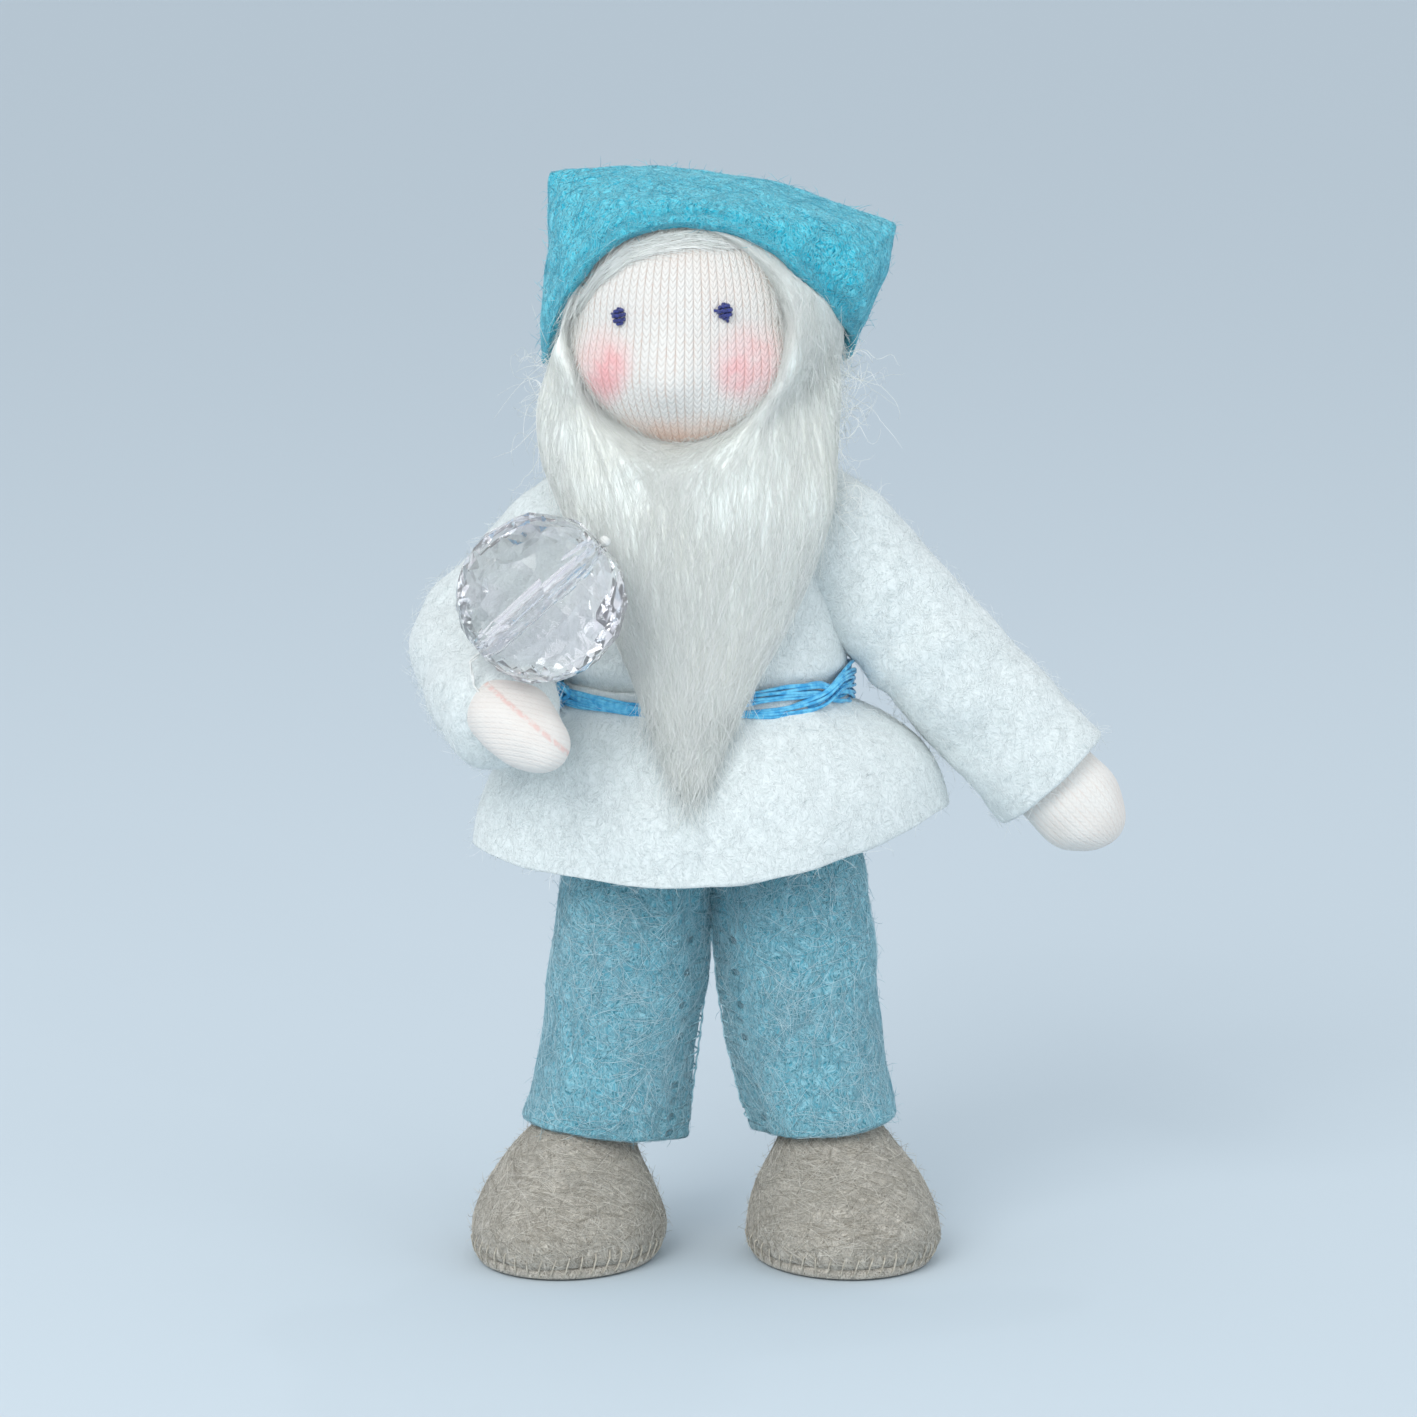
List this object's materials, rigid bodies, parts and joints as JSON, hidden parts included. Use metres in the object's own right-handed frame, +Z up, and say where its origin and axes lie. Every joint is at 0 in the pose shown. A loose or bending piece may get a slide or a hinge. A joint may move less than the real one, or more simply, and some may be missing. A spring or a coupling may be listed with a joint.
{
  "type": "felt gnome doll",
  "caption": "Small standing gnome doll: wire frame in wool, felt tunic, trousers, shoes and flat hat, long fleece beard, knitted face and hands, one hand holding a clear faceted bead.",
  "frame": {"origin": "on the floor, under the middle of the doll's bounding box, between its shoes", "axes": "+Z up through the doll, the doll looks along -Y, its right hand with the bead is at -X"},
  "size_m": [0.0676, 0.0392, 0.0994],
  "materials": {
    "white_felt": "white wool felt",
    "turquoise_felt": "turquoise wool felt",
    "blue_felt": "dusty blue wool felt",
    "grey_felt": "warm grey wool felt",
    "knit": "fine pale cotton knit",
    "fleece": "combed white wool fleece",
    "wool_filling": "raw wool filling",
    "blue_floss": "bright blue cotton floss",
    "navy_floss": "navy cotton floss",
    "pale_thread": "pale sewing thread",
    "steel_wire": "plain drawn wire",
    "clear_acrylic": "clear faceted acrylic"
  },
  "bodies": {
    "torso": {"torso_wool_core": "wool_filling", "torso_wire_frame": "steel_wire", "trouser_seat": "blue_felt", "tunic_front": "white_felt", "tunic_back": "white_felt", "belt": "blue_floss", "belt_knot": "blue_floss"},
    "head": {"head_wool_ball": "wool_filling", "head_skin": "knit", "nose_pad": "wool_filling", "neck_tie": "pale_thread", "right_eye": "navy_floss", "left_eye": "navy_floss", "hat": "turquoise_felt", "hair": "fleece", "beard": "fleece"},
    "right_thigh": {"right_trouser_thigh": "blue_felt", "right_thigh_wool": "wool_filling", "right_thigh_wire": "steel_wire", "right_knee_crease": "blue_felt"},
    "right_shin": {"right_trouser_shin": "blue_felt", "right_shin_wool": "wool_filling", "right_shin_wire": "steel_wire", "right_shoe_upper": "grey_felt", "right_shoe_filling": "wool_filling", "right_shoe_sole": "grey_felt", "right_sole_thread": "pale_thread"},
    "left_thigh": {"left_trouser_thigh": "blue_felt", "left_thigh_wool": "wool_filling", "left_thigh_wire": "steel_wire", "left_knee_crease": "blue_felt"},
    "left_shin": {"left_trouser_shin": "blue_felt", "left_shin_wool": "wool_filling", "left_shin_wire": "steel_wire", "left_shoe_upper": "grey_felt", "left_shoe_filling": "wool_filling", "left_shoe_sole": "grey_felt", "left_sole_thread": "pale_thread"},
    "right_upper_arm": {"right_upper_sleeve": "white_felt", "right_upper_arm_wool": "wool_filling", "right_upper_arm_wire": "steel_wire"},
    "right_forearm": {"right_lower_sleeve": "white_felt", "right_forearm_wool": "wool_filling", "right_forearm_wire": "steel_wire", "right_hand_skin": "knit", "right_hand_filling": "wool_filling", "bead_thread": "pale_thread"},
    "left_upper_arm": {"left_upper_sleeve": "white_felt", "left_upper_arm_wool": "wool_filling", "left_upper_arm_wire": "steel_wire", "left_elbow_crease": "white_felt"},
    "left_forearm": {"left_lower_sleeve": "white_felt", "left_forearm_wool": "wool_filling", "left_forearm_wire": "steel_wire", "left_hand_skin": "knit", "left_hand_filling": "wool_filling"},
    "bead": {"faceted_bead": "clear_acrylic"}
  },
  "joints": [
    {"name": "neck_turn", "type": "hinge", "parent": "torso", "child": "head", "pos_m": [-0.00497, 0.00522, 0.07288], "axis": [0, 0, 1], "range_deg": [-40, 40], "deforming": ["beard"]},
    {"name": "right_hip", "type": "hinge", "parent": "torso", "child": "right_thigh", "pos_m": [-0.01192, 0.00522, 0.03768], "axis": [-1, 0, 0], "range_deg": [-40, 45]},
    {"name": "right_knee", "type": "hinge", "parent": "right_thigh", "child": "right_shin", "pos_m": [-0.01357, 0.00522, 0.02418], "axis": [0.9925, 0, -0.1219], "range_deg": [0, 78], "deforming": ["right_knee_crease"]},
    {"name": "left_hip", "type": "hinge", "parent": "torso", "child": "left_thigh", "pos_m": [0.00198, 0.00522, 0.03768], "axis": [-1, 0, 0], "range_deg": [-40, 45]},
    {"name": "left_knee", "type": "hinge", "parent": "left_thigh", "child": "left_shin", "pos_m": [0.00364, 0.00522, 0.02418], "axis": [0.9925, 0, 0.1219], "range_deg": [0, 78], "deforming": ["left_knee_crease"]},
    {"name": "right_shoulder", "type": "hinge", "parent": "torso", "child": "right_upper_arm", "pos_m": [-0.01447, 0.00522, 0.06788], "axis": [0, 1, 0], "range_deg": [0, 60]},
    {"name": "right_elbow", "type": "hinge", "parent": "right_upper_arm", "child": "right_forearm", "pos_m": [-0.02572, 0.00522, 0.05581], "axis": [-0.689, -0.3355, 0.6425], "range_deg": [-80, 5]},
    {"name": "bead_spin", "type": "hinge", "parent": "right_forearm", "child": "bead", "pos_m": [-0.01887, -0.01238, 0.06268], "axis": [0.7431, 0, 0.6691], "continuous": true},
    {"name": "left_shoulder", "type": "hinge", "parent": "torso", "child": "left_upper_arm", "pos_m": [0.00453, 0.00522, 0.06788], "axis": [0, -1, 0], "range_deg": [0, 60]},
    {"name": "left_elbow", "type": "hinge", "parent": "left_upper_arm", "child": "left_forearm", "pos_m": [0.01579, 0.00522, 0.05581], "axis": [-0.7314, 0, -0.682], "range_deg": [0, 88], "deforming": ["left_elbow_crease"]}
  ]
}
